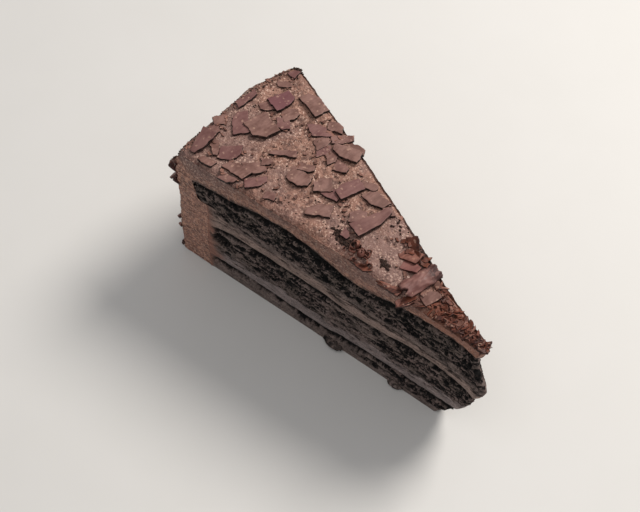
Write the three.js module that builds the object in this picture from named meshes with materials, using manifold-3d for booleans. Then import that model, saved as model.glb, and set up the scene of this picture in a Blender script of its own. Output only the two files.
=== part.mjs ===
// A slice of layered chocolate cake, standing on its base.
// Millimetres, +Z up. The tip points to +X and the outer, frosted side to -X.
// The origin is under the middle of the slice, on the flat underside.

import * as THREE from 'three';
import { mergeVertices } from 'three/addons/utils/BufferGeometryUtils.js';
import { ImprovedNoise } from 'three/addons/math/ImprovedNoise.js';
import Module from 'manifold-3d';

// ---------------------------------------------------------------- driving dimensions

const CAKE_RADIUS = 127; // whole cake, 254 mm across
const SLICE_ANGLE = THREE.MathUtils.degToRad(25.6);
const TIP_HALF_WIDTH = 1.8; // a knife never leaves a true point
const TIP_ROUNDING = 1.2; // how far its two corners are set back

const TOP_AT_RIND = 65.2;
const TOP_AT_TIP = 61.0;
const TOP_SLOPE_START = 20; // from the tip, where the top starts to rise
const TOP_SLOPE_END = 56;
const SHOULDER_RADIUS = 6; // rounding from the top to the outer side
const CUT_EDGE_WIDTH = 3; // rounding along the two cuts
const CUT_EDGE_DROP = 1.3;
const COAT_FOOT = 0.4; // lowest edge of the side coat
const FROSTING_START = 1.6; // its underside begins this far from the tip
const FROSTING_OVERHANG = 1.2; // and its top this much nearer

const COAT_THICK_TOP = 6.7; // side coat under the shoulder
const COAT_THICK_LEDGE = 9; // at the foot of the top cake layer
const COAT_THICK_BASE = 12.7; // beside the two lower cake layers
const COAT_LEDGE = 42.4; // the top cake layer rests on a ledge of the coat
const COAT_TOP_LINE = 52.4; // and ends here

const GAP = 0.3; // between neighbouring pieces
const INNER_GAP = 0.5; // added to it inside the slice, under the frosting
const UNDERCUT_DEPTH = 1.2; // crumb set back under each line of filling
const UNDERCUT_HEIGHT = 3;
const CRAG = 0.75; // relief of the torn crumb
const SMEAR = 0.3; // relief of cut filling and frosting
const TOP_RELIEF = 0.45;

const SHAVING_THICKNESS = 1.2;
const CURL_THICKNESS = 1.4;
const FLAKE_THICKNESS = 1.1;

// Divisions of the solids along the slice, across it and down the side coat.
const ALONG = 34;
const ACROSS_LAYER = 3;
const ACROSS_FROSTING = 12;
const DOWN_COAT = 17;
const DOWN_TO_LEDGE = 4;

// Heights of the lines between layers, as [distance from the tip, height].
const LOWER_LINE = [[0, 13.5], [10, 12.2], [30, 11], [52, 10.6], [64, 8.2], [90, 9.2], [115, 8.6]];
const LOWER_FILLING_TOP = [[0, 19.5], [18, 18.2], [45, 18], [65, 15.2], [90, 16.8], [115, 15.6]];
const UPPER_LINE = [[0, 29.2], [6, 31.4], [24, 33.4], [46, 30.6], [66, 32], [104, 31.8], [115, 28.8]];
const UPPER_FILLING_TOP = [[0, 35.4], [10, 36.6], [30, 38.5], [48, 37], [70, 38.4], [103, 38.1],
  [110, 41.9], [120, 42.4]];
const FROSTING_LINE_FRONT = [[0, 55.4], [13, 57], [27, 56.4], [50, 52.1], [65, 56.4], [75, 58.8],
  [88, 57.6], [104, 54.8], [121, 52.2]];
const FROSTING_LINE_BACK = [[0, 55.4], [25, 56.6], [45, 54.6], [70, 56.8], [95, 54.4], [121, 52.6]];

// Where the crumb ends at the tip, as [height, distance from the tip].
const TIP_PROFILE = [[0, 12], [4, 10.2], [8, 7.2], [12, 4.4], [17, 2.4], [26, -0.2], [37, -3],
  [43, -0.6], [48, 1.6], [58, 3.2]];

// The outer side is not quite round or upright: how far it stands proud at its foot, and at the
// top towards the front and the back cut. The back cut leans in by its inset near the outer side.
const RIND_FOOT = 0.5;
const RIND_FRONT = -1.2;
const RIND_BACK = 1.6;
const BACK_INSET = 0.6;

// Large flat shavings: place of the middle, length and width, turn from X, lift and tilt (degrees).
// Taper narrows the far end, slant shears the ends, and broken is the corner that is missing.
const PLATES = [
  { at: [-45.8, -0.2], size: [10, 9], turn: -8, broken: 1, lift: 1.0, tilt: [-2, -4] },
  { at: [-42, 20], size: [10.5, 6], turn: -8, broken: 3, lift: 0.6, tilt: [-4, -2] },
  { at: [-50, 12.5], size: [8.5, 6.5], turn: 80, taper: 0.1, broken: 1, lift: 0.7, tilt: [-2, -6] },
  { at: [-59, 4], size: [8.5, 3.5], turn: 87, slant: 0.3, broken: 1, lift: 0.2, tilt: [0, -14] },
  { at: [-54, -19.5], size: [10, 5], turn: 100, taper: -0.3, broken: 0, lift: 1.6, tilt: [16, -8] },
  { at: [-38, -17.5], size: [9, 4.5], turn: 10, slant: 0.2, broken: 3, lift: 0.4, tilt: [-3, -5] },
  { at: [-19, 14.5], size: [10, 5], turn: 25, taper: -0.1, broken: 0, lift: 0.8, tilt: [-3, -2] },
  { at: [-22, -4], size: [8.5, 6], turn: 10, slant: -0.2, broken: 1, lift: 0.4, tilt: [-4, -5] },
  { at: [-14.5, 0], size: [6.5, 5.5], turn: 50, taper: 0.1, broken: 3, lift: 0.5, tilt: [-4, -2] },
  { at: [-7.5, 5.5], size: [9.5, 5.5], turn: 75, taper: 0.15, broken: 3, lift: 0.9, tilt: [-4, -5] },
  { at: [1, 9.5], size: [8, 5.5], turn: 0, slant: 0.15, broken: 1, lift: 0.3, tilt: [-4, -3] },
  { at: [7, 2.5], size: [14.5, 5], turn: 80, taper: 0.2, broken: 1, lift: 1.1, tilt: [-2, -8] },
  { at: [38.4, -0.8], size: [6, 4.2], turn: 75, broken: 2, lift: 1.0, tilt: [12, -6] },
];
const CORNER_BREAK = 0.35; // share of each side that goes with a broken corner

// The largest curl lies across the slice near the tip.
const CURL = { at: [32, 1], lift: 1.0, length: 12.5, radius: 3.8, sweep: 115, yaw: 84 };

// Small flakes on the top: place of the middle, length, width and turn from X (degrees).
const TOP_FLAKES = [
  [-42.5, 6.5, 5.5, 4.5, -40], [-44, 11, 6, 5, 60], [-51.5, 7.5, 6, 4, 60], [-55.5, 18, 5, 3, 30],
  [-57, 23.5, 3.5, 3, 20], [-58, -8.5, 5, 4, 60], [-56, -13.5, 5, 3.5, 80], [-50.5, -17, 8, 3, -30],
  [-45, -15, 7.5, 6, 45], [-47.5, -23, 6, 3, 20], [-37.5, -22, 6, 3, 15], [-34.5, -12.5, 7, 5, 60],
  [-30, -16, 8, 4, 60], [-34, -8, 4, 3, 45], [-33, -1.5, 9.5, 2.5, 43], [-30, 19, 5.5, 4, 30],
  [-32.5, 14, 7, 5.5, 50], [-28, 11.5, 6, 4.5, 75], [-24.5, 17.5, 8, 3.5, 50], [-19.5, 18.5, 7.5, 4, 30],
  [-25, 9.5, 5, 4, 60], [-21.5, 10, 6, 4, -30], [-16, 9.5, 5, 4, 20], [-23.5, 0.5, 6, 3.5, 30],
  [-10, 0, 6.5, 4, 10], [-4, 11.5, 6, 3, 25], [2, 0.5, 6, 4.5, 60], [7.5, 9.5, 4, 3, -20],
  [4.5, -7, 3, 3, 0], [-8, -7.5, 9, 5, 45], [-22.5, -16, 4, 3, 30], [23, 4, 8, 5, 20],
  [26.5, 1.5, 6, 3.5, 30], [27, -8, 8, 3, 12], [34, -6.5, 8.5, 3.2, 78], [45.5, 2.8, 14, 2, -8],
  [-52.5, -4.2, 10, 6, -35],
];
const FLAKE_TILT = [-4, -4.5]; // degrees; their open edges stand proud

const SIDE_FLAKE_COUNT = 12;
// Flakes that stick out at the front corner of the outer side: share across, height, how far out,
// lean (degrees), length and width.
const CORNER_FLAKES = [[-0.97, 56, 0.4, 50, 6.6, 3.6], [-0.95, 52.5, 1, -42, 7.4, 4.2],
  [-1, 49, 0.5, 38, 6, 3.4], [-0.92, 54.5, 0.8, 62, 6.4, 3.2], [-0.99, 46.5, 0.2, -30, 4.6, 3],
  [-1, 22, 0.1, 40, 3.2, 1.8], [-1, 15.5, 0.4, 55, 3.8, 1.6], [-0.99, 3.4, 0.2, 15, 3.6, 2.6]];

const TIP_SLIVER_COUNT = 20;

// Lumps of crumb squeezed out at the foot of the front cut: distance from the tip and radius.
const FEET = [[57, 2.8], [30, 2]];
const FOOT_LENGTHENED = 1.7;
const FOOT_SQUASHED = 0.62;

// ---------------------------------------------------------------- helpers

const { clamp, lerp, smoothstep, degToRad, mapLinear } = THREE.MathUtils;

const wasm = await Module();
wasm.setup();

const perlin = new ImprovedNoise();

function noise(point, size, seed) {
  return perlin.noise(point.x / size + seed * 7.31, point.y / size + 3.7, point.z / size - seed * 2.17);
}

function randomFrom(seed) {
  let state = seed >>> 0;
  return (low, high) => {
    state = (state + 0x6d2b79f5) >>> 0;
    let t = Math.imul(state ^ (state >>> 15), state | 1);
    t ^= t + Math.imul(t ^ (t >>> 7), t | 61);
    return lerp(low, high, ((t ^ (t >>> 14)) >>> 0) / 4294967296);
  };
}

// A smooth curve through [x, y] points, held level beyond its ends.
function curveThrough(points) {
  const slope = (i) => {
    const a = points[Math.max(i - 1, 0)];
    const b = points[Math.min(i + 1, points.length - 1)];
    return (b[1] - a[1]) / (b[0] - a[0]);
  };
  return (x) => {
    const last = points.length - 1;
    if (x <= points[0][0]) return points[0][1];
    if (x >= points[last][0]) return points[last][1];
    const i = points.findIndex((p) => p[0] > x) - 1;
    const [x0, y0] = points[i];
    const [x1, y1] = points[i + 1];
    const width = x1 - x0;
    const t = (x - x0) / width;
    const rest = 1 - t;
    return y0 * (1 + 2 * t) * rest * rest + y1 * t * t * (3 - 2 * t)
      + width * t * rest * (slope(i) * rest - slope(i + 1) * t);
  };
}

// A subdivided box whose points go where place(u, v, w) says:
// u from 0 at the tip to 1 at the outer side, v from -1 to 1 across, w from 0 to 1 upwards.
function moulded(place, along, across, up) {
  const box = new THREE.BoxGeometry(1, 1, 1, along, across, up);
  box.deleteAttribute('normal');
  box.deleteAttribute('uv');
  const geometry = mergeVertices(box);
  const position = geometry.attributes.position;
  for (let i = 0; i < position.count; i++) {
    const p = place(0.5 - position.getX(i), 2 * position.getY(i), position.getZ(i) + 0.5);
    position.setXYZ(i, p.x, p.y, p.z);
  }
  return geometry;
}

function toSolid(geometry) {
  const bare = geometry.clone();
  bare.deleteAttribute('normal');
  bare.deleteAttribute('uv');
  const merged = mergeVertices(bare, 1e-4);
  return new wasm.Manifold(new wasm.Mesh({
    numProp: 3,
    vertProperties: new Float32Array(merged.attributes.position.array),
    triVerts: new Uint32Array(merged.index.array),
  }));
}

function fromSolid(solid) {
  const mesh = solid.getMesh();
  const geometry = new THREE.BufferGeometry();
  geometry.setAttribute('position', new THREE.BufferAttribute(mesh.vertProperties, 3));
  geometry.setIndex(new THREE.BufferAttribute(mesh.triVerts, 1));
  return geometry;
}

// ---------------------------------------------------------------- the form of the slice

const TIP_X = CAKE_RADIUS / 2;
const HALF_ANGLE = SLICE_ANGLE / 2;
const BLUNTING = TIP_HALF_WIDTH / Math.sin(HALF_ANGLE);

const lowerLine = curveThrough(LOWER_LINE);
const lowerFillingTop = curveThrough(LOWER_FILLING_TOP);
const upperLine = curveThrough(UPPER_LINE);
const upperFillingTop = curveThrough(UPPER_FILLING_TOP);
const frostingLineFront = curveThrough(FROSTING_LINE_FRONT);
const frostingLineBack = curveThrough(FROSTING_LINE_BACK);
const crumbTip = curveThrough(TIP_PROFILE);

// How far the outer side stands proud of a true arc.
function rindShift(v, z) {
  const atTop = lerp(RIND_FRONT, RIND_BACK, clamp(0.5 + 1.5 * v, 0, 1));
  return lerp(RIND_FOOT, atTop, smoothstep(z, 14, 40));
}

// The point at distance r from the tip, v across the slice and height z.
function slicePoint(r, v, z) {
  const angle = v * HALF_ANGLE;
  const reach = r + rindShift(v, z) * smoothstep(r, 100, 121);
  const spread = Math.hypot(reach, BLUNTING);
  const inset = BACK_INSET * Math.max(v, 0) * smoothstep(r, 85, 110);
  return new THREE.Vector3(TIP_X - reach * Math.cos(angle), spread * Math.sin(angle) - inset, z);
}

// Points out of the nearer cut face.
function cutNormal(v) {
  const angle = v * HALF_ANGLE;
  return new THREE.Vector3(Math.sin(angle), Math.cos(angle), 0).multiplyScalar(Math.sign(v));
}

// Points from the tip towards the outer side.
function outward(v) {
  const angle = v * HALF_ANGLE;
  return new THREE.Vector3(-Math.cos(angle), Math.sin(angle), 0);
}

function topHeight(r) {
  return lerp(TOP_AT_TIP, TOP_AT_RIND, smoothstep(r, TOP_SLOPE_START, TOP_SLOPE_END));
}

function frostingLine(r, v) {
  return lerp(frostingLineFront(r), frostingLineBack(r), (v + 1) / 2);
}

// Distance from the tip to the inside of the side coat.
function coatInside(z) {
  if (z < COAT_LEDGE) return CAKE_RADIUS - COAT_THICK_BASE;
  const rise = clamp((z - COAT_LEDGE) / (COAT_TOP_LINE - COAT_LEDGE), 0, 1);
  return CAKE_RADIUS - lerp(COAT_THICK_LEDGE, COAT_THICK_TOP, rise);
}

// Distance from the tip of the column of points at share u, the same in every piece so that facing
// surfaces match: only the ends move, to the piece's own start and end.
function column(u, v, start, end) {
  if (u === 1) return end;
  return (CAKE_RADIUS - COAT_THICK_BASE) * u + (start + TIP_ROUNDING * v * v) * (1 - u) ** 4;
}

// ---------------------------------------------------------------- cake layers and fillings

// low and high give the layer's height at (r, v). cut(point, drop) gives how far a cut face
// stands proud, where drop is the depth below the layer's upper line.
function layer({ low, high, rows, cut }) {
  const place = (u, v, w) => {
    let r = column(u, v, 0, CAKE_RADIUS - COAT_THICK_BASE);
    let z = lerp(low(r, v), high(r, v), w);
    for (let pass = 0; pass < 3; pass++) {
      r = column(u, v, crumbTip(z), coatInside(z)) - (u === 1 ? GAP : 0);
      z = lerp(low(r, v), high(r, v), w);
    }
    const point = slicePoint(r, v, z);
    const drop = high(r, v) - z;
    if (Math.abs(v) === 1) point.addScaledVector(cutNormal(v), cut(point, drop));
    if (u === 0) point.addScaledVector(outward(v), -cut(point, drop));
    return point;
  };
  return moulded(place, ALONG, ACROSS_LAYER, rows);
}

function crumbFace(seed, undercut) {
  return (point, drop) => {
    const torn = CRAG * (noise(point, 5.5, seed) * 1.5 + noise(point, 2.9, seed + 5));
    const setBack = undercut * (1 - smoothstep(drop, 0, UNDERCUT_HEIGHT));
    return torn - setBack;
  };
}

function smearedFace(seed) {
  return (point) => SMEAR * (1 + 2 * noise(point, 7, seed));
}

function cakeBottom() {
  const slab = toSolid(layer({
    low: () => 0,
    high: (r) => lowerLine(r) - GAP,
    rows: 4,
    cut: crumbFace(11, UNDERCUT_DEPTH),
  }));
  const random = randomFrom(5);
  return fromSolid(FEET.reduce((solid, [r, radius]) => solid.add(toSolid(foot(r, radius, random))), slab));
}

// A squashed lump at the bottom of the front cut.
function foot(r, radius, random) {
  const lump = mergeVertices(bareIcosahedron(radius));
  const position = lump.attributes.position;
  for (let i = 0; i < position.count; i++) {
    const grow = random(0.8, 1.1);
    const [x, y, z] = [position.getX(i), position.getY(i), position.getZ(i)];
    position.setXYZ(i, x * FOOT_LENGTHENED * grow, y * grow, z * FOOT_SQUASHED * grow);
  }
  const centre = slicePoint(r, -1, radius * 0.72);
  lump.rotateZ(HALF_ANGLE);
  lump.translate(centre.x, centre.y, centre.z);
  return lump;
}

function bareIcosahedron(radius) {
  const geometry = new THREE.IcosahedronGeometry(radius, 1);
  geometry.deleteAttribute('normal');
  geometry.deleteAttribute('uv');
  return geometry;
}

function cakeMiddle() {
  return layer({
    low: (r) => lowerFillingTop(r) + GAP,
    high: (r) => upperLine(r) - GAP,
    rows: 6,
    cut: crumbFace(23, UNDERCUT_DEPTH),
  });
}

function cakeTop() {
  return layer({
    low: (r) => upperFillingTop(r) + GAP,
    high: (r, v) => frostingLine(r, v) - GAP - INNER_GAP * (1 - v * v),
    rows: 7,
    cut: crumbFace(37, 1.5 * UNDERCUT_DEPTH),
  });
}

function fillingLower() {
  return layer({ low: lowerLine, high: lowerFillingTop, rows: 2, cut: smearedFace(3) });
}

function fillingUpper() {
  return layer({ low: upperLine, high: upperFillingTop, rows: 2, cut: smearedFace(9) });
}

// ---------------------------------------------------------------- frosting

// The frosting is one sheet that runs from the tip over the top, round the shoulder and down the
// outer side. Its cross rows are counted from the tip: the sheet turns down at row ALONG, and the
// ledge ends at row LEDGE_ROW.
const LEDGE_ROW = ALONG + DOWN_TO_LEDGE + 1;
const LAST_ROW = ALONG + DOWN_COAT;

// Outer skin of the sheet: distance from the tip and height.
function skin(row, v) {
  const flat = CAKE_RADIUS - SHOULDER_RADIUS;
  const arc = SHOULDER_RADIUS * Math.PI / 4;
  const wallTop = TOP_AT_RIND - SHOULDER_RADIUS;
  const stops = [[0, 0], [ALONG, flat + arc], [LEDGE_ROW, flat + 2 * arc + wallTop - COAT_LEDGE],
    [LAST_ROW, flat + 2 * arc + wallTop - COAT_FOOT]];
  const next = stops.findIndex(([stop]) => stop > row);
  const s = next < 0 ? stops[3][1] : mapLinear(row, stops[next - 1][0], stops[next][0],
    stops[next - 1][1], stops[next][1]);
  if (s <= flat) {
    const r = lerp(FROSTING_START - FROSTING_OVERHANG + TIP_ROUNDING * v * v, flat, s / flat);
    return [r, topHeight(r)];
  }
  if (s <= flat + 2 * arc) {
    const turn = (s - flat) / SHOULDER_RADIUS;
    return [flat + SHOULDER_RADIUS * Math.sin(turn), wallTop + SHOULDER_RADIUS * Math.cos(turn)];
  }
  return [CAKE_RADIUS, wallTop - (s - flat - 2 * arc)];
}

// Inner face of the sheet, against the cake.
function lining(row, v) {
  const cornerR = coatInside(TOP_AT_RIND);
  if (row <= ALONG) {
    const r = column(row / ALONG, v, FROSTING_START, cornerR);
    return [r, frostingLine(r, v)];
  }
  if (row < LEDGE_ROW) {
    const z = mapLinear(row, ALONG, LEDGE_ROW - 1, frostingLine(cornerR, v), COAT_LEDGE);
    return [coatInside(z), z];
  }
  return [CAKE_RADIUS - COAT_THICK_BASE, mapLinear(row, LEDGE_ROW, LAST_ROW, COAT_LEDGE, COAT_FOOT)];
}

// Rounding of the top towards the two cuts.
function edgeDrop(r, v) {
  const halfWidth = Math.hypot(r, BLUNTING) * Math.sin(HALF_ANGLE);
  const fromCut = (1 - Math.abs(v)) * halfWidth;
  return CUT_EDGE_DROP * (1 - clamp(fromCut / CUT_EDGE_WIDTH, 0, 1)) ** 2;
}

// How far the outer skin stands proud of the plain form.
function skinRelief(point, r, v, z) {
  const rough = TOP_RELIEF * (1.3 * noise(point, 9, 1) + 0.9 * noise(point, 4, 2));
  const onTop = smoothstep(z, TOP_AT_RIND - 2 * SHOULDER_RADIUS, TOP_AT_TIP);
  return rough - edgeDrop(r, v) * onTop;
}

function frostingSheet() {
  const place = (u, side, w) => {
    const v = 0.6 * side + 0.4 * Math.sin(side * Math.PI / 2);
    const row = Math.round(u * LAST_ROW);
    const [outerR, outerZ] = skin(row, v);
    const [innerR, innerZ] = lining(row, v);
    const point = slicePoint(lerp(innerR, outerR, w), v, lerp(innerZ, outerZ, w));
    if (w === 1) {
      const relief = skinRelief(point, outerR, v, outerZ);
      const lean = smoothstep(outerR, CAKE_RADIUS - SHOULDER_RADIUS, CAKE_RADIUS);
      point.addScaledVector(outward(v), relief * lean);
      point.z += relief * (1 - lean);
    }
    if (Math.abs(side) === 1) point.addScaledVector(cutNormal(v), SMEAR * (1 + 2 * noise(point, 7, 6)));
    point.z = Math.max(point.z, COAT_FOOT);
    return point;
  };
  return moulded(place, LAST_ROW, ACROSS_FROSTING, 2);
}

// ---------------------------------------------------------------- shavings, flakes and curls

// Height of the frosting's plain top at a place.
function topAt(x, y) {
  const [r, v] = acrossAt(x, y);
  const past = clamp(r - rindShift(v, TOP_AT_RIND) - (CAKE_RADIUS - SHOULDER_RADIUS), 0, SHOULDER_RADIUS);
  return topHeight(r) - SHOULDER_RADIUS + Math.sqrt(SHOULDER_RADIUS ** 2 - past ** 2);
}

// Distance from the tip and share across the slice of a place.
function acrossAt(x, y) {
  return [Math.hypot(TIP_X - x, y), clamp(Math.atan2(y, TIP_X - x) / HALF_ANGLE, -1, 1)];
}

// The outline with each side moved out by margin.
function grown(outline, margin) {
  return outline.map((corner, i) => {
    const before = outline[(i + outline.length - 1) % outline.length];
    const after = outline[(i + 1) % outline.length];
    const a = new THREE.Vector2(corner[0] - before[0], corner[1] - before[1]).normalize();
    const b = new THREE.Vector2(after[0] - corner[0], after[1] - corner[1]).normalize();
    const normal = new THREE.Vector2(a.y + b.y, -a.x - b.x).normalize();
    const reach = margin / Math.max(normal.x * a.y - normal.y * a.x, 0.35);
    return [corner[0] + normal.x * reach, corner[1] + normal.y * reach];
  });
}

// The outline of a broken piece of shaving: a strip with one corner missing, turned about its middle.
function shard({ size: [length, width], turn, taper = 0, slant = 0, broken }) {
  const corners = [[-1, -1], [1, -1], [1, 1], [-1, 1]].map(([along, across]) => {
    const y = across * (width / 2) * (1 - taper * along);
    return new THREE.Vector2(along * (length / 2) + slant * y, y);
  });
  const corner = corners[broken];
  const before = corners[(broken + 3) % 4];
  const after = corners[(broken + 1) % 4];
  const sides = [before, after].map((next) => corner.clone().lerp(next, CORNER_BREAK));
  corners.splice(broken, 1, ...sides);
  return corners.map((point) => point.rotateAround(new THREE.Vector2(), degToRad(turn)).toArray());
}

// A flat shaving, or with a margin the room that it needs.
function plate({ at, lift, tilt, ...cut }, margin = 0) {
  const shape = new THREE.Shape(grown(shard(cut), margin).map(([x, y]) => new THREE.Vector2(x, y)));
  const depth = SHAVING_THICKNESS + 2 * margin;
  const geometry = new THREE.ExtrudeGeometry(shape, { depth, bevelEnabled: false });
  geometry.translate(0, 0, -depth / 2);
  geometry.rotateX(degToRad(tilt[0]));
  geometry.rotateY(degToRad(tilt[1]));
  geometry.translate(at[0], at[1], topAt(...at) + lift);
  return geometry;
}

// A rolled strip with a crescent section, its axis along X and its hollow downwards.
function rolled(length, radius, sweep, thickness, steps) {
  const half = degToRad(sweep / 2);
  const rim = (r, i, n) => {
    const angle = lerp(-half, half, i / n);
    return new THREE.Vector2(r * Math.sin(angle), r * Math.cos(angle));
  };
  const outer = Array.from({ length: steps + 1 }, (_, i) => rim(radius, i, steps));
  const inner = Array.from({ length: steps + 1 }, (_, i) => rim(radius - thickness, steps - i, steps));
  const geometry = new THREE.ExtrudeGeometry(new THREE.Shape([...outer, ...inner]),
    { depth: length, bevelEnabled: false });
  geometry.translate(0, -radius * Math.cos(half), -length / 2);
  geometry.rotateX(Math.PI / 2);
  geometry.rotateZ(Math.PI / 2);
  return geometry;
}

function curl(margin = 0) {
  const { at, lift, length, radius, sweep, yaw } = CURL;
  const spread = 2 * (margin / radius) * (180 / Math.PI);
  const geometry = rolled(length + 2 * margin, radius + margin, sweep + spread,
    CURL_THICKNESS + 2 * margin, 7);
  geometry.rotateZ(degToRad(yaw));
  geometry.translate(at[0], at[1], topAt(...at) + lift - margin);
  return geometry;
}

// A flat flake with the given outline, centred on the origin.
function flake(outline) {
  const shape = new THREE.Shape(outline.map(([x, y]) => new THREE.Vector2(x, y)));
  const geometry = new THREE.ExtrudeGeometry(shape, { depth: FLAKE_THICKNESS, bevelEnabled: false });
  geometry.translate(0, 0, -FLAKE_THICKNESS / 2);
  return geometry;
}

function raggedOutline(length, width, random) {
  const corners = 5;
  return Array.from({ length: corners }, (_, i) => {
    const angle = (i + random(-0.3, 0.3)) * 2 * Math.PI / corners;
    const size = random(0.7, 1.15) / 2;
    return [size * length * Math.cos(angle), size * width * Math.sin(angle)];
  });
}

function topFlakes() {
  const random = randomFrom(21);
  return TOP_FLAKES.map(([x, y, length, width, turn]) => {
    const taper = random(-0.25, 0.25);
    const slant = random(-0.4, 0.4);
    const broken = Math.floor(random(0, 4));
    const geometry = flake(shard({ size: [length, width], turn, taper, slant, broken }));
    geometry.rotateX(degToRad(FLAKE_TILT[0] + random(-4, 4)));
    geometry.rotateY(degToRad(FLAKE_TILT[1] + random(-4, 4)));
    geometry.translate(x, y, topAt(x, y) - edgeDrop(...acrossAt(x, y)) + random(-0.1, 0.3));
    return geometry;
  });
}

// Flakes pressed into the outer side, spread evenly by rows, and those at its front corner.
function sideFlakes() {
  const random = randomFrom(8);
  const rows = 3;
  const perRow = SIDE_FLAKE_COUNT / rows;
  const spread = Array.from({ length: SIDE_FLAKE_COUNT }, (_, i) => [
    mapLinear((i % perRow) + random(0.2, 0.8), 0, perRow, -0.9, 0.96),
    mapLinear(Math.floor(i / perRow) + random(0.2, 0.8), 0, rows, 5, 60),
    random(0, 0.4), random(-18, 18), random(3.6, 6), random(2.6, 4.2)]);
  return [...spread, ...CORNER_FLAKES].map(([v, z, out, lean, length, width]) => {
    const geometry = flake(raggedOutline(length, width, random));
    geometry.rotateZ(random(-0.5, 0.5));
    geometry.rotateY(degToRad(lean - 90));
    geometry.rotateZ(-v * HALF_ANGLE + degToRad(random(-12, 12)));
    const centre = slicePoint(CAKE_RADIUS + out, v, z);
    geometry.translate(centre.x, centre.y, centre.z);
    return geometry;
  });
}

// Slivers of broken curls heaped on the tip.
function tipSlivers() {
  const random = randomFrom(20);
  return Array.from({ length: TIP_SLIVER_COUNT }, (_, i) => {
    const r = mapLinear(i, 0, TIP_SLIVER_COUNT - 1, 1.2, 25);
    const v = (i % 2 ? 0.6 : -0.55) * random(0.3, 1);
    const long = random(3.4, 5.4) / 2;
    const wide = random(1.4, 2.4) / 2;
    const outline = [[-long, -wide * 0.6], [long * 0.7, -wide], [long, wide * 0.5], [-long * 0.6, wide]];
    const geometry = flake(outline);
    geometry.rotateX(degToRad(random(-50, 50)));
    geometry.rotateY(degToRad(random(-14, 14)));
    geometry.rotateZ(random(0, Math.PI));
    const centre = slicePoint(r, v, topHeight(r) + random(-0.1, 0.6));
    geometry.translate(centre.x, centre.y, centre.z);
    return geometry;
  });
}

function frosting() {
  const pressedIn = [...topFlakes(), ...sideFlakes(), ...tipSlivers()];
  const covered = pressedIn.reduce((solid, piece) => solid.add(toSolid(piece)), toSolid(frostingSheet()));
  const rooms = [...PLATES.map((row) => plate(row, GAP)), curl(GAP)];
  return fromSolid(rooms.reduce((solid, room) => solid.subtract(toSolid(room)), covered));
}

// ---------------------------------------------------------------- materials and scene

const crumbMaterial = new THREE.MeshStandardMaterial({ color: 0x2a211e, roughness: 0.95, metalness: 0 });
const fillingMaterial = new THREE.MeshStandardMaterial({ color: 0x5f4a43, roughness: 0.7, metalness: 0 });
const frostingMaterial = new THREE.MeshStandardMaterial({ color: 0x8a6459, roughness: 0.65, metalness: 0 });
const shavingMaterial = new THREE.MeshStandardMaterial({ color: 0x7d5750, roughness: 0.5, metalness: 0 });

const slice = new THREE.Group();

function addPiece(name, geometry, material) {
  geometry.computeVertexNormals();
  const mesh = new THREE.Mesh(geometry, material);
  mesh.name = name;
  slice.add(mesh);
}

addPiece('cake_bottom', cakeBottom(), crumbMaterial);
addPiece('filling_lower', fillingLower(), fillingMaterial);
addPiece('cake_middle', cakeMiddle(), crumbMaterial);
addPiece('filling_upper', fillingUpper(), fillingMaterial);
addPiece('cake_top', cakeTop(), crumbMaterial);
addPiece('frosting', frosting(), frostingMaterial);
PLATES.forEach((row, i) => {
  addPiece(`shaving_${String(i + 1).padStart(2, '0')}`, plate(row), shavingMaterial);
});
addPiece('shaving_curl', curl(), shavingMaterial);

export default slice;
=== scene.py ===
"""A slice of layered chocolate cake: the visual model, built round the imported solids.

Lengths are mm in the slice's own frame (tip to +X, frosted outer side to -X, +Z up) until
build() makes them metres.
"""

import math

import bmesh
import bpy
import numpy as np
from mathutils import Matrix, Vector
from numpy.random import default_rng


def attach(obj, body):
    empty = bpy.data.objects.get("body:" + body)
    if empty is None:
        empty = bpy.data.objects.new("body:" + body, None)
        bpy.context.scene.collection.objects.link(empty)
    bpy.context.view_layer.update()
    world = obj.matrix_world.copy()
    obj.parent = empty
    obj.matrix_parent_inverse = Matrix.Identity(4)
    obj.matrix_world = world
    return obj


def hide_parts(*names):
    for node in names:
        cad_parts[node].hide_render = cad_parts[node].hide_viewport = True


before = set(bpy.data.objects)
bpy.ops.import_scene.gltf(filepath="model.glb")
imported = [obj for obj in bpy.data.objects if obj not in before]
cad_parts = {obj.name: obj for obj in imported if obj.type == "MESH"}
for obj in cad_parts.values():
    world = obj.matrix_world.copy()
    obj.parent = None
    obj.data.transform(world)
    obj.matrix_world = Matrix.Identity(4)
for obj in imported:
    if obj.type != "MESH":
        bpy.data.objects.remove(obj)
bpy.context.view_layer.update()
MM = 0.001

# ---- sizes shared with the solids
CAKE_RADIUS = 127
HALF_ANGLE = math.radians(12.8)
TIP_X = CAKE_RADIUS / 2
TIP_HALF_WIDTH, TIP_ROUNDING = 1.8, 1.2
BLUNTING = TIP_HALF_WIDTH / math.sin(HALF_ANGLE)
TOP_AT_RIND, TOP_AT_TIP = 65.2, 61
TOP_SLOPE = (20, 56)  # the top rises over this range of distances from the tip
SHOULDER = 6
CUT_EDGE_WIDTH, CUT_EDGE_DROP = 3, 1.3
COAT_FOOT = 0.4
FROSTING_START, FROSTING_OVERHANG = 1.6, 1.2
COAT_TOP, COAT_LEDGE_THICK, COAT_BASE = 6.7, 9, 12.7
LEDGE, COAT_TOP_LINE = 42.4, 52.4
CORE = CAKE_RADIUS - COAT_BASE  # the crumb's radius inside the side coat
LAST_COLUMN = 33 / 34  # the solids' last column of points starts here

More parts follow.
